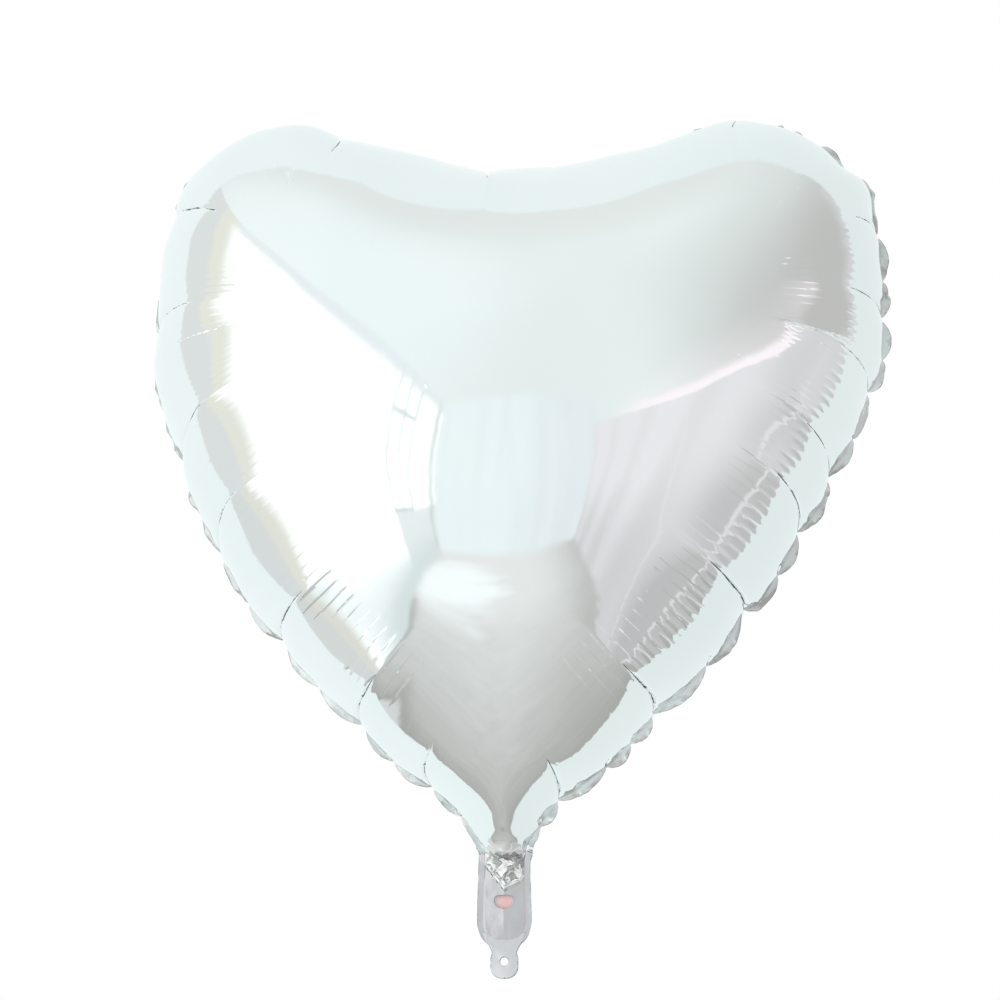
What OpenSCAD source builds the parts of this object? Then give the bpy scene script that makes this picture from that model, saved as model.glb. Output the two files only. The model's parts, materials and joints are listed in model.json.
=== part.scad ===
// Heart-shaped foil balloon, inflated. Two heart-shaped films are welded
// together round their edge. At the bottom both films run on as a flat
// inflation tail, which holds a self-sealing valve of two thin clear films and
// ends in a welded tab with a tie hole.
// Frame: +Z up, the front faces -Y, the origin is the centre of the tie hole.

/* [Heart] */
// Width of the inflated heart across its seam
heart_w = 376; // [330:2:460]
// Height of the heart, from the neck to the top of the lobes
heart_h = 370; // [320:2:450]
// Depth of the cleft below the top of the lobes
cleft_drop = 26; // [10:2:50]
// Thickness of the inflated heart, front to rear
heart_t = 226; // [190:2:240]
// Width of the flat weld outside the heart's seam
margin_w = 5; // [3:0.5:8]

/* [Film] */
// Thickness that stands for one layer of the foil film
film_t = 0.5; // [0.4:0.1:0.8]
// Thickness that stands for one layer of the clear valve film
valve_film_t = 0.4; // [0.3:0.1:0.6]

/* [Tail] */
// Width of the neck, where the heart runs into the tail
neck_w = 25; // [22:1:28]
// Width of the tail over its side welds
tail_w = 27.5; // [24:0.5:32]
// Length of the tail, from the neck to the notch above the tab
tail_len = 52; // [46:1:60]
// Width of the weld down each side of the tail
tail_weld_w = 3; // [2:0.5:3.5]
// Height by which each tail film bulges off the middle plane
tail_puff = 2.5; // [2:0.25:3]
// Diameter of the inflation inlet in the front tail film
inlet_d = 9; // [7:0.5:10]
// Height of the inlet's centre above the notch
inlet_h = 27; // [24:1:30]

/* [Tab] */
// Width of the tab
tab_w = 14; // [12:1:16]
// Width of the notch between the tail and the tab
notch_w = 12.5; // [11:0.5:13]
// Diameter of the tie hole
tie_hole_d = 4.2; // [3:0.2:5]
// Distance from the tie hole's centre up to the notch
tie_hole_to_notch = 3.6; // [3.2:0.1:4.5]
// Distance from the tie hole's centre down to the end of the tab
tie_hole_to_end = 8.5; // [7:0.5:10]

/* [Valve] */
// Width of the valve's two films
valve_w = 13; // [11:0.5:13]
// Length of the valve's free lips inside the heart
lip_len = 50; // [40:2:60]
// Gap between the two valve films
channel_gap = 0.4; // [0.3:0.1:0.6]
// Width of the printed patch that keeps the channel from welding shut
print_w = 11; // [9:0.5:11]

/* [Hidden] */

fold_gap = 2;                           // clear strip at the fold in the neck
tab_gap = 1.2;                          // clear strip at the fold above the tab
notch_z = tie_hole_to_notch;            // fold line between the tab and the tail
neck_z = notch_z + tail_len;            // fold line between the tail and the heart
heart_z = neck_z + fold_gap / 2;        // lowest point of the heart's seam
lip_z = heart_z + 2;                    // lower edge of the valve's lips
inlet_z = notch_z + inlet_h;
middle_z = notch_z + 0.32 * tail_len;    // height at which the tail is widest
tail_top = neck_z - fold_gap / 2;
valve_bottom = notch_z + 0.3 * tail_len;
valve_top = neck_z - 0.07 * tail_len;
weld_t = 2 * film_t;                    // two films fused into one
print_t = 0.1;

centre_h = 0.58 * heart_h;              // height of the heart's fullest point above the neck
rings = 10;                             // rings of facets from a film's edge to its middle
side_steps = 18;                        // outline points down one side of the heart
lobe_steps = 10;                        // outline points along each half of a lobe

foil_colour = [0.86, 0.89, 0.89];
clear_colour = [0.85, 0.87, 0.9, 0.4];
print_colour = [0.88, 0.6, 0.6];

// Points of one cubic curve from a to d, without its last point
function curve(a, b, c, d, steps) =
    [for (i = [0 : steps - 1]) let (t = i / steps, s = 1 - t)
        s * s * s * a + 3 * s * s * t * b + 3 * s * t * t * c + t * t * t * d];

function mirrored(points) = [for (i = [len(points) - 1 : -1 : 0]) [-points[i][0], points[i][1]]];

// Right half of the heart's seam as [x, height above the neck], from the cleft
// over the lobe and down the side to the neck
function heart_half() =
    let (w = heart_w / 2, h = heart_h, lobe_x = 0.64 * w, wide_h = 0.755 * h)
    concat(
        curve([0, h - cleft_drop], [0.23 * w, h - cleft_drop], [0.38 * w, h], [lobe_x, h], lobe_steps),
        curve([lobe_x, h], [0.86 * w, h], [w, 0.885 * h], [w, wide_h], lobe_steps),
        curve([w, wide_h], [w, 0.46 * h], [0.66 * w, 0.29 * h], [neck_w / 2, 0], side_steps),
        [[neck_w / 2, 0]]);

// The whole seam, starting at the cleft, with one point for the cleft
heart_seam = let (right = heart_half())
    concat(right, [for (i = [0 : len(right) - 2]) mirrored(right)[i]]);

// Unit vector out of a closed outline at point i
function outward(points, i) =
    let (n = len(points), step = points[(i + 1) % n] - points[(i + n - 1) % n])
    [-step[1], step[0]] / norm(step);

function grown(points, by) = [for (i = [0 : len(points) - 1]) points[i] + by * outward(points, i)];

// Right side of the tail from top to bottom, given three half widths and heights
function tail_half(top, middle, bottom) =
    let (waist = (top[1] + middle[1]) / 2, hip = (middle[1] + bottom[1]) / 2)
    concat(
        curve(top, [top[0], waist], [middle[0], waist], middle, 6),
        curve(middle, [middle[0], hip], [bottom[0], hip], bottom, 8),
        [bottom]);

function tail_outline(top, middle, bottom) =
    let (right = tail_half(top, middle, bottom)) concat(right, mirrored(right));

tail_edge = tail_outline([neck_w / 2, tail_top], [tail_w / 2, middle_z],
                         [notch_w / 2, notch_z + tab_gap / 2]);
pouch_edge = tail_outline([neck_w / 2 - tail_weld_w, tail_top], [tail_w / 2 - tail_weld_w, middle_z],
                          [notch_w / 2 - tail_weld_w, notch_z + 2 * tail_weld_w]);

// How far a bulging film stands off the middle plane at the share r of the way
// from its fullest point to its edge. A film that tapers grows with the square
// root of the height, up to its fullest point.
function bulge(r, height, half_t, taper_h) =
    half_t * sqrt(max(0, 1 - r * r)) * (taper_h > 0 ? 1 / sqrt(2 - min(1, height / taper_h)) : 1);

// One surface of a bulging film: rings of points from its edge in to its middle
function dome_points(edge, centre, half_t, taper_h, inset) =
    [for (j = [0 : rings - 1]) let (r = cos(90 * j / rings))
        for (p = edge) let (
            out = p - centre,
            at = centre + out * r * (1 - inset / norm(out)),
            depth = bulge(r, r * p[1] + (1 - r) * centre[1], half_t, taper_h) * (1 - inset / half_t))
        [at[0], -depth, at[1]]];

// Bulging film, drawn towards -Y from the plane y = 0. The edge is a closed
// clockwise outline in X and Z.
module film_dome(edge, centre, half_t, taper_h = 0) {
    n = len(edge);
    shell = n * rings;
    outer = dome_points(edge, centre, half_t, taper_h, 0);
    inner = dome_points(edge, centre, half_t, taper_h, film_t);
    outer_pole = 2 * shell;
    inner_pole = 2 * shell + 1;
    last = n * (rings - 1);
    poles = [[centre[0], -half_t, centre[1]], [centre[0], film_t - half_t, centre[1]]];
    outer_faces = [for (j = [0 : rings - 2]) for (i = [0 : n - 1])
        let (a = j * n + i, b = j * n + (i + 1) % n) each [[a, b, b + n], [a, b + n, a + n]]];
    inner_faces = [for (f = outer_faces) [f[0] + shell, f[2] + shell, f[1] + shell]];
    caps = [for (i = [0 : n - 1]) let (a = last + i, b = last + (i + 1) % n)
        each [[a, b, outer_pole], [b + shell, a + shell, inner_pole]]];
    rim = [for (i = [0 : n - 1]) let (j = (i + 1) % n) each [[j, i, i + shell], [j, i + shell, j + shell]]];
    polyhedron(concat(outer, inner, poles), concat(outer_faces, inner_faces, caps, rim));
}

// Flat sheet of an outline in X and Z, centred on the plane y = middle
module flat_sheet(thickness, middle = 0) {
    translate([0, middle + thickness / 2, 0]) rotate([90, 0, 0]) linear_extrude(thickness) children();
}

module heart_panel() {
    translate([0, 0, heart_z]) film_dome(heart_seam, [0, centre_h], heart_t / 2, centre_h);
}

module front_panel() { color(foil_colour) heart_panel(); }

module rear_panel() { color(foil_colour) mirror([0, 1, 0]) heart_panel(); }

// The flat weld outside the seam, open at the neck
module seam_margin() {
    color(foil_colour) difference() {
        translate([0, 0, heart_z]) flat_sheet(weld_t) difference() {
            polygon(grown(heart_seam, margin_w));
            polygon(heart_seam);
        }
        translate([-heart_w / 2, -weld_t, heart_z - heart_h]) cube([heart_w, 2 * weld_t, heart_h]);
    }
}

module tail_film() {
    film_dome(pouch_edge, [0, middle_z + 0.12 * tail_len], tail_puff);
}

module tail_front_film() {
    color(foil_colour) difference() {
        tail_film();
        translate([0, -2 * tail_puff, inlet_z]) rotate([-90, 0, 0])
            cylinder(h = 2 * tail_puff, d = inlet_d, $fn = 48);
    }
}

module tail_rear_film() { color(foil_colour) mirror([0, 1, 0]) tail_film(); }

// The flat weld down both sides of the tail and across its lower end
module tail_welds() {
    color(foil_colour) flat_sheet(weld_t) difference() {
        polygon(tail_edge);
        polygon(pouch_edge);
    }
}

module tie_tab() {
    top = notch_z - tab_gap / 2;
    corner = min(tab_w / 2 - 0.5, (top + tie_hole_to_end) / 2);
    color(foil_colour) flat_sheet(weld_t) difference() {
        union() {
            translate([-notch_w / 2, 0]) square([notch_w, top]);
            translate([-tab_w / 2, corner - tie_hole_to_end])
                square([tab_w, top - 1 - corner + tie_hole_to_end]);
            for (side = [-1, 1]) translate([side * (tab_w / 2 - corner), corner - tie_hole_to_end])
                circle(r = corner, $fn = 48);
        }
        circle(d = tie_hole_d, $fn = 48);
    }
}

// One film of the valve between two heights. side is -1 for the front film and 1 for the rear.
module valve_strip(side, bottom, top) {
    flat_sheet(valve_film_t, side * (channel_gap + valve_film_t) / 2)
        translate([-valve_w / 2, bottom]) square([valve_w, top - bottom]);
}

module valve_front_film() {
    color(clear_colour) difference() {
        valve_strip(-1, valve_bottom, valve_top);
        translate([0, -channel_gap - valve_film_t, inlet_z]) rotate([-90, 0, 0])
            cylinder(h = channel_gap + valve_film_t, d = inlet_d, $fn = 48);
    }
}

module valve_rear_film() { color(clear_colour) valve_strip(1, valve_bottom, valve_top); }

module valve_release_print() {
    color(print_colour) flat_sheet(print_t, (channel_gap - print_t) / 2)
        translate([-print_w / 2, inlet_z - print_w / 2]) square([print_w, print_w]);
}

module valve_front_lip() { color(clear_colour) valve_strip(-1, lip_z, lip_z + lip_len); }

module valve_rear_lip() { color(clear_colour) valve_strip(1, lip_z, lip_z + lip_len); }

front_panel();
rear_panel();
seam_margin();
tail_front_film();
tail_rear_film();
tail_welds();
tie_tab();
valve_front_film();
valve_rear_film();
valve_release_print();
valve_front_lip();
valve_rear_lip();
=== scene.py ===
import json
import math

import bpy
import numpy as np
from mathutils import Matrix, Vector, kdtree
from mathutils.geometry import delaunay_2d_cdt


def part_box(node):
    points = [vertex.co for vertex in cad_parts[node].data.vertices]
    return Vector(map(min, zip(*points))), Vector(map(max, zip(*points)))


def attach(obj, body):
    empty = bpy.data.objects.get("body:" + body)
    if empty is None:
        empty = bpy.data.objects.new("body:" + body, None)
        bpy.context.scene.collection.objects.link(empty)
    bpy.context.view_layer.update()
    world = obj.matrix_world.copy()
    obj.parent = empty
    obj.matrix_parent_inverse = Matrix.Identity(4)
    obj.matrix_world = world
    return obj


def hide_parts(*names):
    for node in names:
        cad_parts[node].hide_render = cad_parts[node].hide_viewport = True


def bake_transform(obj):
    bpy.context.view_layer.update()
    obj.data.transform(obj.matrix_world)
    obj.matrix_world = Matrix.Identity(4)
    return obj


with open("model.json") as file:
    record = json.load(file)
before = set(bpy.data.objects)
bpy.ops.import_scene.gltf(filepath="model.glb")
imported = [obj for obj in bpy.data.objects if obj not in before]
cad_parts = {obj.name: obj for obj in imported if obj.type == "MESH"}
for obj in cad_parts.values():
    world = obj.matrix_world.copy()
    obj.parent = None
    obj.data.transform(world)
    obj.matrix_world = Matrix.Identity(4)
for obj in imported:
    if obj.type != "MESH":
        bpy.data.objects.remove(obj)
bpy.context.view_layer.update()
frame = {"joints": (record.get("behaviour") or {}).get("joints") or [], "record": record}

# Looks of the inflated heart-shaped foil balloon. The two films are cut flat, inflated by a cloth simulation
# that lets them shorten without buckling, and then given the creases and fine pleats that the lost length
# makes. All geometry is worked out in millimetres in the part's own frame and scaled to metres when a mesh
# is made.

METRE = 0.001  # one millimetre in metres

# ---------------------------------------------------------------- sizes from the frame

joint_z = {j["name"]: j["pos_m"][2] / METRE for j in frame["joints"]}
mount = {m["name"]: m for m in frame["record"]["mounts"]}


def box_mm(node):
    low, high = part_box(node)
    return np.array(low) / METRE, np.array(high) / METRE


heart_low, heart_high = box_mm("front_panel")
_, margin_high = box_mm("seam_margin")
_, tail_high = box_mm("tail_welds")
pouch_low, pouch_high = box_mm("tail_front_film")
tab_low, tab_high = box_mm("tie_tab")

HEART_Z = heart_low[2]  # lowest point of the heart's seam
HEART_W = heart_high[0] - heart_low[0]
NECK_Z = joint_z["neck_fold"]
NOTCH_Z = joint_z["tab_fold"]
MARGIN_W = margin_high[0] - heart_high[0]
TAIL_HALF = tail_high[0]
POUCH_HALF = pouch_high[0]
POUCH_BOTTOM = pouch_low[2]
POUCH_PUFF = -pouch_low[1]
TAB_HALF = tab_high[0]
TAB_END = tab_low[2]
TIE_HOLE_R = mount["tie_hole"]["dims"]["r_mm"]
INLET_R = mount["inflation_inlet"]["dims"]["r_mm"]
INLET_Z = mount["inflation_inlet"]["pos_m"][2] / METRE

# ---------------------------------------------------------------- the flat cut

FLAT_HALF_W = 239.0  # half the heart's width when flat
FLAT_H = 448.0  # height of the flat heart above the neck
FLAT_CLEFT = 5.0  # depth of the cleft when flat, which inflation deepens
FLAT_LOBE_X = 120.0  # where the lobes are highest
FLAT_WIDE_H = 287.0  # height at which the flat heart is widest
NECK_HALF = 10.5  # half the neck's opening
TAIL_DROP = HEART_Z - POUCH_BOTTOM  # length of the tail's pouch below the neck
TAIL_WIDE_DROP = 0.77 * TAIL_DROP  # how far below the neck the tail is widest
TAIL_END_HALF = 3.0  # half width of the pouch's flat lower end
NECK_PUFF, NECK_HANG = 4.5, 22.0  # how far the neck bulges over the tail, and how far down
POUCH_FILL, POUCH_END = 0.35, 12.0  # how full the pouch is, and the length of its tapering lower end
JOIN, JOIN_OVER = -8.0, 9.0  # where the tail's shape starts to pass into the inflated film's, upwards

# Creases where the seam is drawn in, as (distance from the cleft along the inflated seam, length inward as
# seen from the front, depth). The short ones are notches of the edge alone.
LEFT_CREASES = [
    (20, 30, 2.6), (58, 1, 0.5), (96, 24, 2.2), (146, 1, 0.6), (178, 1, 0.7), (211, 34, 2.0), (244, 1, 0.8),
    (273, 32, 2.0), (312, 1, 0.8), (345, 37, 2.1), (370, 1, 0.8), (393, 37, 2.1), (422, 1.5, 1.0),
    (450, 43, 2.4), (479, 1.5, 1.0), (510, 40, 2.3), (533, 1, 0.8), (557, 22, 1.7), (577, 1, 0.9),
]
RIGHT_CREASES = [
    (4, 9, 0.6), (23, 10, 0.6), (76, 8, 0.8), (120, 8, 0.8), (157, 1, 0.5), (182, 4, 0.8), (221, 11, 1.2),
    (245, 1, 0.8), (265, 23, 1.7), (286, 1, 0.7), (305, 28, 1.8), (330, 1, 0.8), (354, 31, 1.9),
    (386, 34, 2.0), (410, 1.5, 0.9), (436, 41, 2.4), (469, 2, 1.2), (506, 40, 2.4), (524, 1.5, 0.9),
    (541, 1.5, 1.0), (571, 20, 1.6), (586, 1, 0.9),
]
RIM_RADIUS = 75.0  # radius of the round rim, which is steep, so a crease is longer than it looks
CREASE_LEAN, CREASE_LEAN_OVER = 10.5, 30.0  # how far a crease moves up the seam inward, within what distance
LONG_CREASE = 3.0  # the length that tells a crease from a notch
# The lobes of an inflated heart never come out quite even: these ones lean a little to the right.
LEAN, LEAN_DROP, LEAN_FROM, LEAN_OVER = 9.0, 0.011, 175.0, 200.0
NECK_WIDER, NECK_WIDER_OVER = 0.48, 9.0  # the flat tail keeps the neck from narrowing as it would by itself
# A blunt ridge runs up from the neck into the face: its share of the depth, its height, and how blunt it is.
RIDGE_SHARE, RIDGE_HEIGHT, RIDGE_ROUND = 0.8, 42.0, 0.1
NOSE, NOSE_AT, NOSE_OVER = 3.2, 3.5, 5.0  # the ridge's lower end stands out over the neck
TALLER = 1.012  # the simulation draws the heart's height in a little too much

# Distances inside the seam of the rows of points that follow it.
EDGE_ROWS = np.r_[1.0, 2.2, 3.8, 5.8, 8.2, 11.0]
RIM_ROWS = np.r_[14.5, 18.5, 23.0, 28.0, 32.5, 36.5]
PLEAT_ROWS = np.arange(40.0, 97.0, 2.4)
FACE_ROWS = PLEAT_ROWS[-1] + np.array([2.4, 5.4, 9.0])
FACE_FROM = PLEAT_ROWS[-1] + 12  # the coarse points of the face begin here
COLUMN = 1.0  # spacing of the rows' points along the seam where it is finest
FACE_GRID = 5.0  # spacing of the points on the face
TAIL_GRID = 0.6  # spacing of the points on the neck and tail
FINE_TOP = 7.0  # height above the neck up to which that spacing is kept


def bezier(a, b, c, d, steps=60):
    t = np.linspace(0, 1, steps, endpoint=False)[:, None]
    a, b, c, d = (np.array(p, float) for p in (a, b, c, d))
    return (1 - t) ** 3 * a + 3 * (1 - t) ** 2 * t * b + 3 * (1 - t) * t * t * c + t ** 3 * d


def smooth(x):
    x = np.clip(x, 0, 1)
    return x * x * (3 - 2 * x)


def unit(rows):
    return rows / np.linalg.norm(rows, axis=1)[:, None]


def lengths_along(line):
    """The distance of each point of a polyline from its start."""
    return np.r_[0, np.cumsum(np.linalg.norm(np.diff(line, axis=0), axis=1))]


def read_off(at, places, values):
    """Rows of values, known at some places along a line, at others."""
    return np.column_stack([np.interp(at, places, column) for column in values.T])


def resampled(line, spacing):
    """The polyline with points at about this even spacing, its ends kept."""
    along = lengths_along(line)
    at = np.linspace(0, along[-1], max(2, int(round(along[-1] / spacing))) + 1)
    return read_off(at, along, line)


def closed(loop, spacing):
    """The loop as a polyline that ends where it starts, at this spacing."""
    return resampled(np.vstack([loop, loop[:1]]), spacing)


def circle(radius, middle_z):
    turn = np.linspace(0, 2 * np.pi, 40, endpoint=False)
    return np.column_stack([radius * np.cos(turn), middle_z + radius * np.sin(turn)])


def heart_side():
    """Right side of the flat heart's seam, from the cleft to the neck."""
    w, h = FLAT_HALF_W, FLAT_H
    top, wide = (FLAT_LOBE_X, h), (w, FLAT_WIDE_H)
    return np.vstack([
        bezier((0, h - FLAT_CLEFT), (0.16 * w, h - FLAT_CLEFT), (0.38 * w, h), top),
        bezier(top, (0.75 * w, h), (w, 0.9 * h), wide),
        bezier(wide, (w, 0.555 * h), (0.79 * w, 0.145 * h), (NECK_HALF, 0)),
        [(NECK_HALF, 0)],
    ])


def tail_side():
    """Right side of the tail's pouch, from the neck to its lower end."""
    wide, low = -TAIL_WIDE_DROP, -TAIL_DROP
    return np.vstack([
        bezier((NECK_HALF, 0), (NECK_HALF - 1.0, -8), (POUCH_HALF, 0.6 * wide), (POUCH_HALF, wide)),
        bezier((POUCH_HALF, wide), (POUCH_HALF, 0.35 * wide + 0.65 * low), (2 * TAIL_END_HALF, low),
               (TAIL_END_HALF, low)),
        [(TAIL_END_HALF, low)],
    ])


def inside(points, loop):
    x, y = points[:, 0], points[:, 1]
    result = np.zeros(len(points), bool)
    for (x1, y1), (x2, y2) in zip(loop, np.roll(loop, -1, 0)):
        if y1 != y2:
            result ^= ((y1 > y) != (y2 > y)) & (x < (x2 - x1) * (y - y1) / (y2 - y1) + x1)
    return result


def search_tree(points):
    tree = kdtree.KDTree(len(points))
    for i, p in enumerate(points):
        tree.insert((p[0], p[1], 0), i)
    tree.balance()
    return tree


def nearest(points, line):
    """For each point, the index of the nearest point of a line and the distance to it."""
    tree = search_tree(line)
    found = [tree.find((p[0], p[1], 0)) for p in points]
    return np.array([f[1] for f in found]), np.array([f[2] for f in found])


def well_inside(points, loop, clear, edge_spacing=0.3):
    """The points that are inside a loop and clear of it."""
    points = points[inside(points, loop)]
    return points[nearest(points, closed(loop, edge_spacing))[1] > clear]


def hex_grid(low, high, spacing):
    rows = np.arange(low[1], high[1], spacing * math.sqrt(3) / 2)
    columns = np.arange(low[0], high[0], spacing)
    return np.array([(x + spacing / 2 * (j % 2), y) for j, y in enumerate(rows) for x in columns])


def triangulated(loops, points):
    """Triangles over the first loop with the other loops as holes. The loops' points come first."""
    corners = np.vstack([*loops, points])
    edges, first = [], 0
    for loop in loops:
        n = len(loop)
        edges += [(first + i, first + (i + 1) % n) for i in range(n)]
        first += n
    result = delaunay_2d_cdt([Vector(p) for p in corners], edges, [], 0, 1e-5)
    flat = np.array([(p.x, p.y) for p in result[0]])
    faces = np.array([f for f in result[2] if len(f) == 3])
    middle = flat[faces].mean(axis=1)
    keep = inside(middle, loops[0])
    for hole in loops[1:]:
        keep &= ~inside(middle, hole)
    faces = faces[keep]
    a, b, c = (flat[faces[:, i]] for i in range(3))
    turned = (b[:, 0] - a[:, 0]) * (c[:, 1] - a[:, 1]) - (b[:, 1] - a[:, 1]) * (c[:, 0] - a[:, 0])
    faces[turned < 0] = faces[turned < 0][:, ::-1]
    return flat, faces


# ---------------------------------------------------------------- inflation

SIM_EDGE = 7.5
SIM_SCALE = 10  # the simulation runs ten times life size, where the solver is at its best
SIM_FRAMES = 30
NECK_STRIP = 15.0  # length of neck inflated with the heart; its lower end is held flat, as by the tail


def inflated_heart():
    """Inflates two flat hearts joined at the seam. Gives the front film's flat points and where they end up,
    with the middle of the neck at the origin, and the number of points on the outline, which come first."""
    side = resampled(heart_side(), SIM_EDGE)
    neck = len(side) - 1
    side = np.vstack([side, resampled(np.array([side[-1], side[-1] - [0, NECK_STRIP]]), SIM_EDGE)[1:]])
    low = resampled(np.array([side[-1], side[-1] * [-1, 1]]), SIM_EDGE)
    loop = np.vstack([side, low[1:-1], side[::-1] * [-1, 1]])[:-1]
    grid = hex_grid((-FLAT_HALF_W, -NECK_STRIP), (FLAT_HALF_W, FLAT_H), SIM_EDGE)
    grid = well_inside(grid, loop, 0.6 * SIM_EDGE, 1.0)
    flat, faces = triangulated([loop], grid)
    n, rim = len(flat), len(loop)
    apart = np.where(np.arange(n) < rim, 0.0, 1.0)
    front = np.column_stack([flat[:, 0], -apart, flat[:, 1]])
    rear = front[rim:] * [1, -1, 1]
    rear_faces = np.where(faces < rim, faces, faces + n - rim)[:, ::-1]
    mesh = bpy.data.meshes.new("inflation")
    scale = SIM_SCALE * METRE
    both = np.vstack([front, rear]) * scale
    mesh.from_pydata(both.tolist(), [], np.vstack([faces, rear_faces]).tolist())
    mesh.update()
    cloth_object = bpy.data.objects.new("inflation", mesh)
    bpy.context.scene.collection.objects.link(cloth_object)
    held = cloth_object.vertex_groups.new(name="held")
    held.add(np.nonzero(flat[:, 1] < 0.1 - NECK_STRIP)[0].tolist(), 1.0, "REPLACE")
    cloth = cloth_object.modifiers.new("Cloth", "CLOTH")
    s = cloth.settings
    s.vertex_group_mass = "held"
    s.quality = 6
    s.mass = 0.3
    s.air_damping = 10
    s.tension_stiffness = 80
    s.tension_damping = 20
    s.compression_stiffness = s.shear_stiffness = 0
    s.compression_damping = s.shear_damping = 0
    s.bending_stiffness = 2
    s.use_pressure = True
    s.uniform_pressure_force = 10
    s.effector_weights.gravity = 0
    cloth.collision_settings.use_collision = False
    cloth.collision_settings.use_self_collision = False
    cloth.point_cache.frame_start, cloth.point_cache.frame_end = 1, SIM_FRAMES
    for step in range(1, SIM_FRAMES + 1):
        bpy.context.scene.frame_set(step)
    evaluated = cloth_object.evaluated_get(bpy.context.evaluated_depsgraph_get())
    out = evaluated.to_mesh()
    moved = np.zeros(3 * len(out.vertices))
    out.vertices.foreach_get("co", moved)
    evaluated.to_mesh_clear()
    moved = moved.reshape(-1, 3) / scale
    bpy.data.objects.remove(cloth_object)
    bpy.data.meshes.remove(mesh)
    bpy.context.scene.frame_set(1)
    # both films end up alike, so the front one is the mean of the two
    front_moved = moved[:n].copy()
    front_moved[rim:] = (moved[rim:n] + moved[n:] * [1, -1, 1]) / 2
    front_moved[:rim, 1] = 0
    neck_middle = (front_moved[neck] + front_moved[rim - neck]) / 2
    return flat, front_moved - neck_middle * [1, 0, 1], rim


sim_flat, sim_moved, sim_rim = inflated_heart()
sim_moved *= HEART_W / np.ptp(sim_moved[:sim_rim, 0])
sim_moved[:, 2] *= TALLER
sim_moved[:, 2] += HEART_Z
sim_moved[:, 0] *= 1 + NECK_WIDER * np.exp(-((sim_moved[:, 2] - NECK_Z) / NECK_WIDER_OVER) ** 2)

# the half width of the lower heart's seam by height, before the heart leans
rim_z, rim_x = sim_moved[:sim_rim, 2], np.abs(sim_moved[:sim_rim, 0])
lower_rim = (sim_flat[:sim_rim, 1] > -1) & (sim_flat[:sim_rim, 1] < 200) & (sim_flat[:sim_rim, 0] > 0)
order = np.argsort(rim_z[lower_rim])
rim_z, rim_x = rim_z[lower_rim][order], rim_x[lower_rim][order]

lean = smooth((sim_moved[:, 2] - LEAN_FROM) / LEAN_OVER)
sim_moved[:, 2] -= LEAN_DROP * sim_moved[:, 0] * lean
sim_moved[:, 0] += LEAN * lean

GHOST_REACH = 30.0  # how far the film is carried on past the seam
FIT_REACH, FIT_COUNT = 10.0, 18  # how far round a point, and over how many simulated points, a fit is made


def with_ghosts(flat, moved):
    """Adds each point near the seam again, reflected over it into the rear film, so that a fit runs on past
    the seam."""
    line = resampled(np.vstack([heart_side(), [(NECK_HALF, -NECK_STRIP)]]), 0.5)
    line = np.vstack([line, line * [-1, 1]])
    index, away = nearest(flat, line)
    near = (away > 0.1) & (away < GHOST_REACH)
    ghosts = 2 * line[index[near]] - flat[near]
    return np.vstack([flat, ghosts]), np.vstack([moved, moved[near] * [1, -1, 1]])


def fitted(points, flat, moved):
    """Where flat points go, by a quadratic fit to the simulated points round each of them."""
    tree = search_tree(flat)
    near = np.array([[f[1] for f in tree.find_n((p[0], p[1], 0), FIT_COUNT)] for p in points])
    offset = (flat[near] - points[:, None, :]) / FIT_REACH
    x, y = offset[..., 0], offset[..., 1]
    weight = np.exp(-(x * x + y * y))
    basis = np.stack([np.ones_like(x), x, y, x * x, x * y, y * y], axis=-1)
    weighted = basis * weight[..., None]
    normal = np.einsum("nki,nkj->nij", weighted, basis) + 1e-7 * np.eye(6)
    right = np.einsum("nki,nkj->nij", weighted, moved[near])
    return np.linalg.solve(normal, right)[:, 0, :]

# ---------------------------------------------------------------- the seam that all the films share


def random_line(seed, spacing, length):
    """Values between -1 and 1 at uneven steps, as (places, values) for np.interp."""
    rng = np.random.default_rng(seed)
    places = np.cumsum(rng.uniform(0.5, 1.5, int(2 * length / spacing) + 4) * spacing) - spacing
    return places, rng.uniform(-1, 1, len(places))


class Seam:
    """One side's seam from the cleft down the heart and the tail, as the flat line and the inflated one.
    Side is 1 for the right and -1 for the left."""

    def __init__(self, side, creases):
        self.side, self.creases = side, creases
        heart = resampled(heart_side(), COLUMN)
        tail = resampled(tail_side(), TAIL_GRID)
        self.flat = np.vstack([heart, tail[1:]]) * [side, 1]
        self.neck = len(heart) - 1


seams = {1: Seam(1, RIGHT_CREASES), -1: Seam(-1, LEFT_CREASES)}
ghost_flat, ghost_moved = with_ghosts(sim_flat, sim_moved)


def pouch_width(v):
    """Half width of the tail's pouch at height v, which is negative below the neck."""
    side = tail_side()[::-1]
    return np.interp(v, side[:, 1], side[:, 0])


def tail_shape(points):
    """The tail's film before its creases: a shallow pouch with a blunt ridge down its middle, under the
    fuller neck, which hangs over it."""
    u, v = points[:, 0], points[:, 1]
    width = pouch_width(np.minimum(v, 0))
    share = np.clip(np.abs(u) / width, 0, 1)
    low_end = smooth((v + TAIL_DROP) / POUCH_END) ** 0.5
    round_part = np.sqrt(np.clip(1 - share ** 2, 0, 1))
    pouch = POUCH_PUFF * low_end * (POUCH_FILL * round_part + POUCH_FILL * (1 - share))
    ridge = 0.9 * smooth((v + 10) / 8)  # it begins 10 mm under the neck
    across = round_part * (1 - ridge) + (1 - np.sqrt(share ** 2 + 0.02)) * ridge
    neck = NECK_PUFF * smooth((v + NECK_HANG) / NECK_HANG) ** 1.5 * np.maximum(across, 0)
    return np.column_stack([u, -pouch - neck, HEART_Z + v])


def share_of_width(points):
    """How far towards the seam each point is, from 0 at the middle to 1, or -1 on the left."""
    return np.clip(points[:, 0] / np.interp(points[:, 2], rim_z, rim_x), -1, 1)


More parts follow.
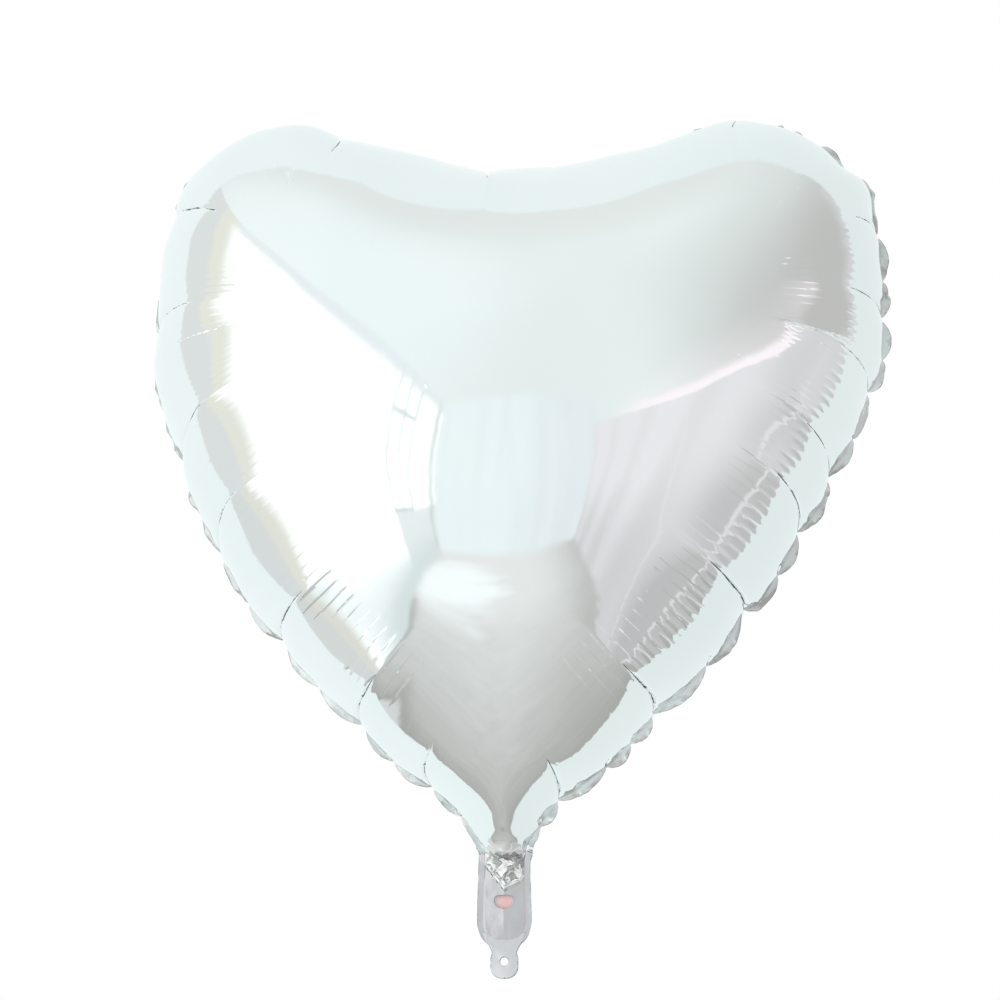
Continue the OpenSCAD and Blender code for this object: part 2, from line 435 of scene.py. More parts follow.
def beside_ridge(points):
    """How much of the film's depth is left beside the blunt ridge that runs up from the neck."""
    to_side = np.sqrt(share_of_width(points) ** 2 + RIDGE_ROUND ** 2)
    ridged = np.sqrt(np.clip(1 - to_side, 0, 1) / (1 + to_side)) * (1 + RIDGE_ROUND)
    share = RIDGE_SHARE * (1 - smooth((points[:, 2] - NECK_Z) / RIDGE_HEIGHT))
    return 1 - share + share * ridged


def base_shape(points):
    """The smooth film, before creases: fitted to the simulation above the neck, and the tail's shape below
    it."""
    result = tail_shape(points)
    upper = points[:, 1] > JOIN
    mix = smooth((points[upper, 1:] - JOIN) / JOIN_OVER)
    heart = fitted(points[upper], ghost_flat, ghost_moved)
    heart[:, 1] *= beside_ridge(heart)
    result[upper] = result[upper] * (1 - mix) + heart * mix
    nose = NOSE * np.exp(-((points[:, 1] - NOSE_AT) / NOSE_OVER) ** 2)
    result[:, 1] -= nose * (1 - np.abs(share_of_width(result)))
    return result

for seam in seams.values():
    seam.base = base_shape(seam.flat)
    seam.base[:, 1] = 0
    step = unit(np.gradient(seam.base, axis=0))
    seam.out = np.column_stack([-step[:, 2], 0 * step[:, 1], step[:, 0]]) * seam.side
    seam.along = lengths_along(seam.base)

if seams[1].out[seams[1].neck // 2, 0] < 0:
    raise RuntimeError("the seam's outward direction is inward")

HEART_SEAM = seams[1].along[seams[1].neck]  # length of one side of the inflated heart's seam


# ---------------------------------------------------------------- creases, pillows and pleats


def lean_up(d):
    """How far up the seam a fold has moved at the distance d inside it."""
    return CREASE_LEAN * (1 - np.exp(-d / CREASE_LEAN_OVER))


class Crease:
    """A fold that runs inward from the seam, by its centre line, its length along the film and its depth."""

    def __init__(self, place, seen, depth):
        self.place, self.depth, self.long = place, depth, seen > LONG_CREASE
        self.reach = math.sqrt(2 * RIM_RADIUS * seen)
        self.lean = 1 + 0.15 * math.sin(0.9 * place)
        self.bow = 0.8 * math.sin(1.7 * place)

    def centre(self, d):
        return self.place - self.lean * lean_up(d) + self.bow * np.sin(np.pi * np.clip(d / self.reach, 0, 1))

    def fade(self, d):
        return smooth((1 - d / self.reach) * 2.2)


for seam in seams.values():
    seam.creases = [Crease(*c) for c in seam.creases]

# A long crease draws the film in this much, ever less up to this far inside the seam, and fully where the
# next one is at least so far away.
PILLOW, PILLOW_EASE, PILLOW_REACH, PILLOW_FULL = 1.3, 1.25, 66.0, 55.0
# Along a crease the film turns to the face more sharply than between creases, at this distance inside the
# seam, but less so along the lobes and not at the tip.
KINK, KINK_AT, KINK_OVER = 0.9, 72.0, 19.0
KINK_ALONG = ([0, 60, 110, 235, 275, 505, 525], [0.5, 0.4, 0, 0, 1, 1, 0])
# Between notches of the edge it bulges a little too, nearer to the seam.
EDGE_PUFF, EDGE_SHARP, EDGE_REACH, EDGE_FULL = 0.8, 2.6, 16.0, 26.0
GROOVE, GROOVE_OVER = 0.85, 0.55  # the sharp bottom of a fold, as a share of its depth, and its width
DIP, DIP_OVER = 0.22, 3.0  # the soft dip round it
LIP, LIP_AT, LIP_OVER = 0.10, 1.9, 0.8  # the lip beside it

def bulge(seam, s, d, long_only):
    """How near each point is to a crease, from 0 midway between two to 1 at one, with the depth and the
    distance apart of the two."""
    creases = [c for c in seam.creases if c.long] if long_only else seam.creases
    places = np.array([c.place for c in creases])
    depths = np.array([c.depth for c in creases])
    ends = np.r_[-places[0], places, 2 * HEART_SEAM - places[-1]]
    depths = np.r_[depths[0], depths, depths[-1]]
    moved = s + lean_up(d)
    at = np.clip(np.searchsorted(ends, moved) - 1, 0, len(ends) - 2)
    share = np.clip((moved - ends[at]) / (ends[at + 1] - ends[at]), 0, 1)
    length = ends[at + 1] - ends[at]
    return np.abs(2 * share - 1), depths[at] * (1 - share) + depths[at + 1] * share, length


def crease_field(seam, s, d):
    """Displacement outward, in millimetres, of points at s along the inflated seam and d inside it."""
    to_crease, depth, length = bulge(seam, s, d, True)
    kink = KINK * np.interp(s, *KINK_ALONG) * np.exp(-((d - KINK_AT) / KINK_OVER) ** 2)
    drawn = PILLOW * smooth(PILLOW_EASE - PILLOW_EASE * d / PILLOW_REACH) - kink
    total = -depth * np.minimum(1, length / PILLOW_FULL) * to_crease ** 2 * drawn
    to_notch, depth, length = bulge(seam, s, d, False)
    puff = EDGE_PUFF * depth * np.minimum(1, length / EDGE_FULL)
    total -= puff * to_notch ** EDGE_SHARP * smooth(1 - d / EDGE_REACH)
    for crease in seam.creases:
        across = np.abs(s - crease.centre(d))
        fold = GROOVE * np.exp(-across / GROOVE_OVER) + DIP * np.exp(-(across / DIP_OVER) ** 2)
        lip = LIP * np.exp(-((across - LIP_AT) / LIP_OVER) ** 2)
        total += crease.depth * crease.fade(d) * (lip - fold)
    return total


PLEAT_PITCH = 4.6  # along the seam
# Where along each side's seam the pleats are how high and how long: none round the top, most down the lower
# sides.
PLEATS = {
    1: ([200, 225, 260, 300, 360, 430, 494, 500, 545, 590],
        [0, 0.07, 0.10, 0.12, 0.18, 0.26, 0.25, 0.05, 0.03, 0.01],
        [6, 9, 12, 14, 18, 22, 21, 5, 5, 4]),
    -1: ([206, 235, 300, 350, 400, 465, 480, 486, 503, 509, 550, 590],
         [0, 0.03, 0.05, 0.06, 0.05, 0.02, 0.04, 0.34, 0.42, 0.05, 0.03, 0.01],
         [5, 6, 8, 9, 10, 8, 9, 17, 20, 5, 5, 4]),
}
# How far inside the seam they begin.
PLEAT_STARTS = {
    1: ([200, 300, 400, 500, 590], [40, 45, 52, 50, 20]),
    -1: ([200, 300, 400, 500, 590], [40, 45, 46, 42, 20]),
}
TEETH = 512  # more than there are pleats on one side


def pleat_field(seam, s, d, seed):
    """Fine parallel pleats across the band where the film turns from the rim to the face."""
    places, heights, lengths = PLEATS[seam.side]
    wander = np.interp(s, *random_line(seed, 14, 700))
    phase = (s + lean_up(d)) / PLEAT_PITCH + 0.5 * wander
    tooth = np.floor(phase).astype(int)
    rng = np.random.default_rng(seed + 1)

    def per_tooth(low, high):
        return rng.uniform(low, high, TEETH)[tooth % TEETH]

    start = np.interp(s, *PLEAT_STARTS[seam.side]) + per_tooth(0, 5)
    length = np.interp(s, places, lengths) * per_tooth(0.8, 1.2)
    size = np.interp(s, places, heights) * per_tooth(0.6, 1.4)
    # each tooth narrows to a point on its own, and meets its neighbours at the film's own level
    share = np.clip((d - start) / length, 0, 1)
    across = np.abs(phase - tooth - 0.5) * 2
    width = 1 - 0.75 * share
    return 2 * size * smooth(share * 5) * smooth((1 - share) * 2.5) * smooth(1 - across / width)


def crumple(points, seed, size):
    """Ridged folds with flat facets between them, from sheets of random direction."""
    rng = np.random.default_rng(seed)
    total = np.zeros(len(points))
    for _ in range(7):
        angle = rng.uniform(0, 2 * np.pi)
        direction = np.array([math.cos(angle), math.sin(angle)])
        pitch = size * rng.uniform(0.6, 1.6)
        t = points @ direction / pitch + rng.uniform(0, 1)
        bend = points @ direction[::-1] / (2.3 * pitch)
        total += np.abs((t + 0.3 * np.sin(2 * np.pi * bend)) % 1 - 0.5) * 2 * rng.uniform(0.4, 1)
    return total / 7 - 0.5


def flap_edge(u):
    """Height above the neck, negative, of the edge of the crumpled flap over the inlet."""
    tip = INLET_Z + INLET_R + 0.5 - HEART_Z
    return tip + np.where(u < 0, -1.3 * u, 0.45 * u + 0.9 * np.maximum(u - 7.5, 0))


def above_flap_edge(u, v, rear):
    """Height above the edge of the flap on the front or on the rear film."""
    return v - (flap_edge(-u) + 4 if rear else flap_edge(u))


def neck_field(points, rear):
    """Displacement of the film's crumpled neck and tail towards the viewer, in millimetres."""
    u, v = points[:, 0], points[:, 1]
    seed = 31 if rear else 11
    inward = smooth((pouch_width(np.minimum(v, 0)) - np.abs(u)) / 2.5)
    above = above_flap_edge(u, v, rear)
    flap = smooth(above / 0.8)
    top = 1 - smooth((v - 4) / 9)
    strong = crumple(points, seed, 7.0) * 2.6 + crumple(points, seed + 1, 3.4) * 1.2
    hem = 0.7 * np.exp(-((above - 1.3) / 0.8) ** 2)
    lift = 0.3 if rear else 1.2  # how far the flap stands off the tail
    total = inward * top * flap * (strong + hem + lift)
    total += inward * top * (1 - flap) * crumple(points, seed + 2, 11.0) * 1.1
    # a narrow upright ridge down the middle of the pouch
    ridge = np.exp(-np.abs(u + 0.3) / 0.9) * smooth((-18 - v + 6) / 8) * smooth((v + TAIL_DROP - 4) / 10)
    return total + 0.4 * ridge * (1 - flap)


# ---------------------------------------------------------------- meshes


def make_object(name, points, faces, slots=None):
    """A smooth-shaded piece, with the number of each face's material slot."""
    mesh = bpy.data.meshes.new(name)
    mesh.from_pydata((np.asarray(points) * METRE).tolist(), [], np.asarray(faces).tolist())
    mesh.update()
    mesh.polygons.foreach_set("use_smooth", [True] * len(mesh.polygons))
    if slots is not None:
        mesh.polygons.foreach_set("material_index", slots)
    piece = bpy.data.objects.new(name, mesh)
    bpy.context.scene.collection.objects.link(piece)
    return piece


def vertex_normals(points, faces):
    a, b, c = (points[faces[:, i]] for i in range(3))
    face_normal = np.cross(b - a, c - a)
    normals = np.zeros_like(points)
    for i in range(3):
        np.add.at(normals, faces[:, i], face_normal)
    return normals / np.maximum(np.linalg.norm(normals, axis=1), 1e-12)[:, None]


def seam_frame(seam):
    """The flat seam of the heart and the direction into the film at each of its points."""
    heart = seam.flat[:seam.neck + 1]
    step = unit(np.gradient(heart, axis=0))
    return heart, np.column_stack([step[:, 1], -step[:, 0]]) * seam.side


def row_points(seam, rows, stride):
    """Rows of points that follow the seam, kept clear of its creases, with their depths."""
    heart, inward = seam_frame(seam)
    found = []
    for i, depth in enumerate(rows):
        s = seam.along[:len(heart)]
        keep = np.zeros(len(heart), bool)
        keep[(i % 2) * stride // 2 + 1::stride] = True
        for crease in seam.creases:
            if depth < crease.reach + 1:
                keep &= np.abs(s - crease.centre(depth)) > FOLD_LINES[-1] + 0.4
        found.append(np.column_stack([heart + inward * depth, np.full(len(heart), depth)])[keep])
    return np.vstack(found)


FOLD_LINES = np.array([0, 0.22, 0.6, 1.1, 1.8, 2.8])  # where points run along a crease, from its centre
FOLD_STEP = 1.2  # spacing of those points


def fold_points(seam):
    """Lines of points along each crease, so that the fold is crisp."""
    heart, inward = seam_frame(seam)
    along = seam.along[:len(heart)]
    found = []
    for crease in seam.creases:
        d = np.arange(0.9, crease.reach + 1, FOLD_STEP)
        for line in np.r_[-FOLD_LINES[:0:-1], FOLD_LINES]:
            s = crease.centre(d) + line
            spots = read_off(s, along, heart) + read_off(s, along, inward) * d[:, None]
            found.append(np.column_stack([spots, d])[(s > 0.4) & (s < along[-1])])
    return np.vstack(found)


def film_points():
    """Flat points inside a film: rows that follow the seam, folds, a coarse middle, and a fine neck and
    tail."""
    line = np.vstack([seams[1].flat[:seams[1].neck + 1], seams[-1].flat[:seams[-1].neck + 1]])
    found = []
    for seam in seams.values():
        for rows, stride in ((EDGE_ROWS, 1), (RIM_ROWS, 3), (PLEAT_ROWS, 1), (FACE_ROWS, 3)):
            found.append(row_points(seam, rows, stride))
        found.append(fold_points(seam))
    band = np.vstack(found)
    _, away = nearest(band[:, :2], line)
    band = band[(away > 0.99 * band[:, 2] - 0.03) & (band[:, 1] > FINE_TOP) & (band[:, 1] < FLAT_H)]
    middle = hex_grid((-FLAT_HALF_W, FINE_TOP + 3), (FLAT_HALF_W, FLAT_H), FACE_GRID)
    fine = hex_grid((-20, -TAIL_DROP), (20, FINE_TOP), TAIL_GRID)
    return band[:, :2], middle, fine


def outline_loop():
    right, left = seams[1].flat, seams[-1].flat
    low = resampled(np.array([right[-1], left[-1]]), TAIL_GRID)
    return np.vstack([right, low[1:-1], left[::-1][:-1]])


def inlet_loop():
    """The inlet cut in the front film: level above and drawn to a blunt point below."""
    turn = np.linspace(0, 2 * np.pi, 48, endpoint=False)
    up, across = np.sin(turn), np.cos(turn)
    x = 1.16 * INLET_R * np.sign(across) * np.abs(across) ** 0.8
    z = INLET_R * np.where(up > 0, 0.62 * np.abs(up) ** 0.5, -0.98 * np.abs(up) ** 1.15)
    return np.column_stack([x, INLET_Z - HEART_Z + z])


outline = outline_loop()
band_points, middle_points, fine_points = film_points()


def film_mesh(with_inlet):
    loops = [outline, inlet_loop()] if with_inlet else [outline]
    fine = well_inside(fine_points, outline, 0.55 * TAIL_GRID, 0.5)
    if with_inlet:
        fine = fine[~inside(fine, loops[1])]
        fine = fine[nearest(fine, loops[1])[1] > 0.7 * TAIL_GRID]
    middle = well_inside(middle_points, outline, FACE_FROM, 0.5)
    return triangulated(loops, np.vstack([band_points, middle, fine]))


def seam_coordinates(points):
    """For flat points: the side, the place along the inflated seam, and the distance inside it."""
    side = np.where(points[:, 0] >= 0, 1, -1)
    s, d = np.zeros(len(points)), np.zeros(len(points))
    for sign, seam in seams.items():
        mine = side == sign
        dense = resampled(np.column_stack([seam.flat, seam.along]), 0.25)
        index, away = nearest(points[mine], dense)
        s[mine], d[mine] = dense[index, 2], away
    return side, s, d


TURN_OVER = 9.0  # how far inside the seam folds turn from the seam's outward direction to the film's
TIP_FADE = ([400, 470], [0, 1])  # down the seam, both sides' folds come to die out at the middle
TIP_FADE_OVER = 24.0  # and this is how far from it
NECK_FADE, NECK_FADE_OVER = 1.0, 14.0  # the seam's folds also die out towards the neck


def displaced(flat, faces, rear):
    """The film's points with all its creases, facing -Y."""
    base = base_shape(flat)
    side, s, d = seam_coordinates(flat)
    base[d < 0.01, 1] = 0
    normal = vertex_normals(base, faces)
    result = base.copy()
    for sign, seam in seams.items():
        mine = (side == sign) & (s <= HEART_SEAM)
        mix = smooth(d[mine] / TURN_OVER)[:, None]
        direction = unit(read_off(s[mine], seam.along, seam.out) * (1 - mix) + normal[mine] * mix)
        seed = 100 + 10 * sign + (50 if rear else 0)
        height = crease_field(seam, s[mine], d[mine]) + pleat_field(seam, s[mine], d[mine], seed)
        low = np.interp(s[mine], *TIP_FADE)
        height *= 1 - low * (1 - smooth(np.abs(flat[mine, 0]) / TIP_FADE_OVER))
        fade = smooth((flat[mine, 1] - NECK_FADE) / NECK_FADE_OVER)
        result[mine] += direction * (height * fade)[:, None]
    result[:, 1] -= neck_field(flat, rear) * smooth(d)
    return result


# the third of the films' materials is painted shade, dark along the bottoms of the folds
FOIL, TAIL, FOLD_SHADE, CRUMPLED = range(4)  # the films' materials


def in_a_fold(points):
    """Which flat points are at the bottom of a crease or a notch."""
    side, s, d = seam_coordinates(points)
    found = np.zeros(len(points), bool)
    for sign, seam in seams.items():
        for crease in seam.creases:
            end = 0.92 * crease.reach if crease.long else 2.5
            found |= (side == sign) & (np.abs(s - crease.centre(d)) < FOLD_LINES[1]) & (d < end)
    return found & (points[:, 1] > 3)


def film_piece(name, rear):
    """The front film, with the inlet, or the rear one."""
    flat, faces = film_mesh(not rear)
    points = displaced(flat, faces, rear)
    middle = flat[faces].mean(axis=1)
    u, v = middle[:, 0], middle[:, 1]
    above = above_flap_edge(u, v, rear)
    height = points[faces, 2].mean(axis=1) - HEART_Z
    # the bottoms of creases and notches get painted shade: a dark line along each fold
    slots = np.where(in_a_fold(middle), FOLD_SHADE, FOIL)
    slots[height < np.sin(1.9 * u) - 2.5] = CRUMPLED  # below a wavy line under the neck
    slots[(above < 1.6) & (v < 0)] = FOIL  # the flap's smooth hem
    slots[(above < 0) & (v < 0)] = TAIL
    slots[(above < 0) & (above > -0.6) & (v < -6) & (u < 1.5)] = FOLD_SHADE  # the shadow line under it
    if rear:
        points = points * [1, -1, 1]
    # flat triangles run anticlockwise, which faces -Y with X to the right
    return make_object(name, points, faces if not rear else faces[:, ::-1], slots)


front_film = film_piece("front_film", False)
rear_film = film_piece("rear_film", True)


# ---------------------------------------------------------------- the welded edge


WELD_ROWS = np.array([0, 0.2, 0.4, 0.6, 0.8, 0.93, 1.0])  # places of its rows of points across its width
WELD_BACK = {  # how far it leans back over the rear film, in radians, along each side's seam
    1: ([0, 150, 190, 260, 330, 420, 590], [1.1, 1.1, 0.8, 0.3, 0.5, 0.3, 0]),
    -1: ([0, 150, 190, 260, 330, 420, 590], [1.1, 1.1, 1.0, 1.0, 0.9, 0.5, 0]),
}
WELD_BOW = {1: 0.82, -1: 0.54}  # its width midway between creases, as a share of the CAD's
WELD_PINCH = 0.8  # how much of that is lost at a crease
# Spacing of its waves and their size in radians, at its inner and its outer edge.
WELD_CRUMPLE = (7.0, 0.45), (5.0, 0.9)
IN_TAIL = 2  # its third material, beside the weld's own and the painted shade along its edge


def weld_side(seam, sign):
    """One side's weld, as a grid of points from the seam outward. It is too long for the drawn-in seam, so
    it bows out between the creases, leans back over the rear film and crumples."""
    s = seam.along
    fade = smooth((seam.flat[:, 1] - NECK_FADE) / NECK_FADE_OVER)
    height = crease_field(seam, s, 0 * s) * fade * (s <= HEART_SEAM)
    in_tail = smooth((s - HEART_SEAM + 4) / 12)
    to_notch, _, _ = bulge(seam, s, 0 * s, False)
    bow = WELD_BOW[sign] * (1 - WELD_PINCH * to_notch ** 2)
    width = MARGIN_W * bow * (1 - in_tail) + (TAIL_HALF - POUCH_HALF) * in_tail
    width *= 1 - 0.5 * smooth((s - s[-1] + 6) / 6)
    back = np.interp(s, *WELD_BACK[sign])
    (inner_step, inner_size), (outer_step, outer_size) = WELD_CRUMPLE
    inner = np.interp(s, *random_line(40 + sign, inner_step, 800)) * inner_size
    outer = np.interp(s, *random_line(44 + sign, outer_step, 800)) * outer_size
    calm = 1 - 0.85 * in_tail
    strip = [seam.base + seam.out * height[:, None]]
    for share, part in zip(WELD_ROWS[1:], np.diff(WELD_ROWS)):
        angle = (back + inner * (1 - share) + outer * share) * calm
        step = width * part
        move = seam.out * (np.cos(angle) * step)[:, None]
        move[:, 1] += np.sin(angle) * step
        strip.append(strip[-1] + move)
    return np.stack(strip, axis=1)


def seam_weld():
    """The flat weld outside the seam: one strip, up the left side and down the right one."""
    both = np.concatenate([weld_side(seams[-1], -1)[::-1], weld_side(seams[1], 1)[1:]])
    n, m = both.shape[:2]
    index = np.arange(n * m).reshape(n, m)
    faces = np.stack([index[:-1, :-1], index[1:, :-1], index[1:, 1:], index[:-1, 1:]], axis=-1)
    ends = both[:, 0, 2] < HEART_Z - 2
    slots = np.where(ends[:-1, None] & ends[1:, None], IN_TAIL, 0) + np.zeros(m - 1, int)
    # the outermost row gets painted shade, a dark line along the weld's edge
    slots[:, -1] = 1
    return make_object("seam_weld", both.reshape(-1, 3), faces.reshape(-1, 4), slots.ravel())


weld_piece = seam_weld()

SHEET_EDGE = 0.6  # spacing of the points on the edges of the tab and the print
SHEET_GRID = 0.7  # and inside them


def tab_mesh():
    """The tail's lower weld and the tab, one flat double film with the tie hole. Its outline follows the
    CAD's, with the notch's corners rounded."""
    hip = TAIL_HALF * 0.55
    top = POUCH_BOTTOM + 5.0
    corner = 5.75
    turn = np.linspace(0, np.pi / 2, 14)
    right = np.vstack([
        [(pouch_width(np.array([top - HEART_Z]))[0] + 1.6, top)],
        bezier((hip + 2.2, POUCH_BOTTOM + 1.2), (hip + 0.6, POUCH_BOTTOM - 1.5),
               (TAB_HALF - 0.9, NOTCH_Z + 2.2), (TAB_HALF - 0.75, NOTCH_Z), 14),
        [(TAB_HALF, NOTCH_Z - 1.8)],
        [(TAB_HALF - corner + corner * math.cos(a), TAB_END + corner - corner * math.sin(a)) for a in turn],
    ])
    right = resampled(right, SHEET_EDGE)
    loop = np.vstack([right, right[::-1] * [-1, 1]])
    top_edge = resampled(np.array([loop[-1], loop[0]]), SHEET_EDGE)[1:-1]
    loop = np.vstack([loop, top_edge])[::-1]
    hole = circle(TIE_HOLE_R, 0)
    grid = well_inside(hex_grid((-12, TAB_END), (12, top), SHEET_GRID), loop, 0.4)
    grid = grid[np.linalg.norm(grid, axis=1) > TIE_HOLE_R + 0.35]
    flat, faces = triangulated([loop, hole], grid)
    u, v = flat[:, 0], flat[:, 1]
    wave = 0.35 * np.sin(u / 3.1 + 0.8) * smooth((NOTCH_Z + 4 - v) / 8) + 0.5 * crumple(flat, 61, 9.0)
    wave *= smooth((POUCH_BOTTOM - v) / 5)
    # edge faces below the pouch get painted shade, a dark line round the tab's edge
    at_edge = (faces < len(loop) + len(hole)).sum(axis=1) > 1
    at_edge &= flat[faces, 1].mean(axis=1) < POUCH_BOTTOM
    return flat, np.column_stack([u, -wave, v]), faces, at_edge.astype(int)


tab_flat, tab_points, tab_faces, tab_slots = tab_mesh()
tab_piece = make_object("tie_tab_film", tab_points, tab_faces, tab_slots)
thick = tab_piece.modifiers.new("Double film", "SOLIDIFY")
thick.thickness = 0.25 * METRE
thick.offset = 0


# ---------------------------------------------------------------- the valve

FILM_EDGE, FILM_GRID = 0.8, 0.9  # spacings of the points on a clear film's edge and inside it
FILM_CLEAR = 0.45  # how clear of the edge those inside it keep


def valve_sheet(name, node, bow, hole=0.0):
    """A thin clear film over a CAD valve film, a little bowed and rippled, with its width and height in
    metres. A hole has this radius, round the inlet."""
    low, high = box_mm(node)
    corners = np.array([(low[0], low[2]), (high[0], low[2]), (high[0], high[2]), (low[0], high[2])])
    loop = closed(corners, FILM_EDGE)[:-1]
    loops = [loop]
    grid = well_inside(hex_grid(corners.min(0), corners.max(0), FILM_GRID), loop, FILM_CLEAR)
    if hole:
        loops.append(circle(hole, INLET_Z))
        grid = grid[np.linalg.norm(grid - [0, INLET_Z], axis=1) > hole + FILM_CLEAR]
    flat, faces = triangulated(loops, grid)
    across = flat[:, 0] / (0.5 * (high[0] - low[0]))
    middle = (low[1] + high[1]) / 2
    y = middle + bow * (1 - across ** 2) + 0.05 * np.sin(flat[:, 0] * 1.9 + flat[:, 1] * 0.4)
    piece = make_object(name, np.column_stack([flat[:, 0], y, flat[:, 1]]), faces)
    return piece, (high[0] - low[0]) * METRE, (high[2] - low[2]) * METRE


valve_front, valve_w, valve_h = valve_sheet("valve_front", "valve_front_film", -0.15, INLET_R - 0.3)
valve_rear, _, _ = valve_sheet("valve_rear", "valve_rear_film", 0.15)
lip_front, lip_w, lip_h = valve_sheet("lip_front", "valve_front_lip", -0.12)
lip_rear, _, _ = valve_sheet("lip_rear", "valve_rear_lip", 0.12)


def print_patch():
    """The pink release print: a shield-shaped patch on the rear valve film."""
    low, high = box_mm("valve_release_print")
    w, bottom, top = high[0], low[2], high[2]
    side = np.vstack([
        bezier((0, bottom), (0.55 * w, bottom), (w, bottom + 2.5), (w, bottom + 6.0), 16),
        [(w, top - 0.8), (w - 0.8, top)],
    ])
    loop = resampled(np.vstack([side, side[::-1] * [-1, 1]]), SHEET_EDGE)[:-1]
    grid = well_inside(hex_grid((low[0], bottom), (high[0], top), SHEET_GRID), loop, 0.35)
    flat, faces = triangulated([loop], grid)
    y = 0.04 + 0.08 * crumple(flat, 71, 5.0)
    return make_object("valve_print", np.column_stack([flat[:, 0], y, flat[:, 1]]), faces)


print_piece = print_patch()

# ---------------------------------------------------------------- materials


class Signal:
    """A number that runs through a node tree, so that a sum of nodes can be written as a sum."""

    def __init__(self, tree, socket):
        self.tree, self.socket = tree, socket

    def __add__(self, other):
        return self.tree.math("ADD", self, other)

    def __sub__(self, other):
        return self.tree.math("SUBTRACT", self, other)

    def __rsub__(self, other):
        return self.tree.math("SUBTRACT", other, self)

    def __mul__(self, other):
        return self.tree.math("MULTIPLY", self, other)

    def __truediv__(self, other):
        return self.tree.math("DIVIDE", self, other)

    def __neg__(self):
        return self * -1.0


class Tree:
    """Short forms for building node trees."""

    def __init__(self, tree):
        self.nodes, self.links = tree.nodes, tree.links

    def node(self, kind, inputs=None, **settings):
        made = self.nodes.new(kind)
        for key, value in settings.items():
            setattr(made, key, value)
        for key, value in (inputs or {}).items():
            self.put(made.inputs[key], value)
        return made

    def put(self, socket, value):
        if isinstance(value, Signal):
            value = value.socket
        if isinstance(value, bpy.types.NodeSocket):
            self.links.new(value, socket)
        else:
            socket.default_value = value

    def math(self, operation, *values, clamp=False):
        inputs = dict(enumerate(values))
        made = self.node("ShaderNodeMath", inputs, operation=operation, use_clamp=clamp)
        return Signal(self, made.outputs[0])

    def largest(self, first, *others):
        for other in others:
            first = self.math("MAXIMUM", first, other)
        return first

    def ramp(self, value, low, high, out_low=0.0, out_high=1.0, kind="SMOOTHSTEP"):
        inputs = dict(enumerate((value, low, high, out_low, out_high)))
        return Signal(self, self.node("ShaderNodeMapRange", inputs, interpolation_type=kind).outputs[0])

    def between(self, value, low, high, soft):
        """1 where a value lies between two others, with soft ends."""
        return self.ramp(value, low - soft, low + soft) * self.ramp(value, high + soft, high - soft)

    def mix(self, factor, a, b):
        return self.node("ShaderNodeMix", {0: factor, 6: a, 7: b}, data_type="RGBA").outputs[2]

    def noise(self, vector, scale, detail=3.0, rough=0.5):
        inputs = {"Vector": vector, "Scale": scale, "Detail": detail, "Roughness": rough}
        return Signal(self, self.node("ShaderNodeTexNoise", inputs).outputs["Fac"])

    def vector(self, operation, a, b, c=None):
        inputs = {0: a, 1: b} if c is None else {0: a, 1: b, 2: c}
        return self.node("ShaderNodeVectorMath", inputs, operation=operation).outputs

    def combined(self, *values):
        return self.node("ShaderNodeCombineXYZ", dict(enumerate(values))).outputs[0]


def new_material(name):
    material = bpy.data.materials.new(name)
    material.use_nodes = True
    tree = Tree(material.node_tree)
    shader = material.node_tree.nodes["Principled BSDF"]
    place = tree.node("ShaderNodeTexCoord").outputs["Object"]
    return material, tree, shader, place


def finish_material(tree, shader, colour, rough, bump_height, bump_depth, metal=1.0):
    tree.put(shader.inputs["Base Color"], colour)
    tree.put(shader.inputs["Roughness"], rough)
    shader.inputs["Metallic"].default_value = metal
    bump = tree.node("ShaderNodeBump", {"Height": bump_height, "Distance": bump_depth})
    tree.put(shader.inputs["Normal"], bump.outputs["Normal"])


def foil_material(name, tint, dark_tint, rough, crinkle, dimple):
    """Vacuum-metallised film: a mirror with faint haze, a slow colour drift, small crinkles and rare
    dimples. Rough is the haze and how far it varies; crinkle is the crinkles' depth in metres and scale."""
    material, tree, shader, place = new_material(name)
    colour = tree.mix(tree.ramp(tree.noise(place, 9.0, 2.0), 0.3, 0.7), dark_tint, tint)
    haze = tree.ramp(tree.noise(place, 60.0, 4.0, 0.6), 0.35, 0.75, rough[0], sum(rough))
    spots = tree.node("ShaderNodeTexVoronoi", {"Vector": place, "Scale": 34.0}, feature="F1")
    pits = tree.ramp(spots.outputs["Distance"], 0.0, 0.05, dimple, 0.0)
    height = tree.noise(place, crinkle[1], 3.0, 0.55) - pits
    finish_material(tree, shader, colour, haze, height, crinkle[0])
    return material


def shade_painted_foil_material(name, dark, light, scale, low, high):
    """Foil with painted shade: dark in patches, as at the bottom of a sharp fold and along the weld's edge.
    """
    material, tree, shader, place = new_material(name)
    unshaded = tree.ramp(tree.noise(place, scale, 3.0, 0.6), low, high)
    finish_material(tree, shader, tree.mix(unshaded, dark, light), 0.4 - unshaded * 0.2, unshaded, 0.0002)
    return material


def crumpled_foil_material():
    """Tightly crumpled foil: small bent facets, some with a painted highlight and some with painted shade,
    as in the shade of the others.
    """
    material, tree, shader, place = new_material("crumpled_foil")
    wobble = tree.node("ShaderNodeTexNoise", {"Vector": place, "Scale": 150.0})
    warped = tree.vector("MULTIPLY_ADD", wobble.outputs["Color"], (0.009, 0.009, 0.009), place)[0]
    facets = tree.node("ShaderNodeTexVoronoi", {"Vector": warped, "Scale": 260.0, "Smoothness": 0.25},
                       feature="SMOOTH_F1")
    bright = Signal(tree, tree.node("ShaderNodeSeparateColor", {0: facets.outputs["Color"]}).outputs[0])
    tone = bright * 0.6 + tree.noise(warped, 420.0, 4.0, 0.65) * 0.8
    shade = tree.mix(tree.ramp(tone, 0.38, 0.95), (0.42, 0.44, 0.44, 1), (0.95, 0.97, 0.96, 1))
    finish_material(tree, shader, shade, 0.16, tone, 0.0014)
    return material


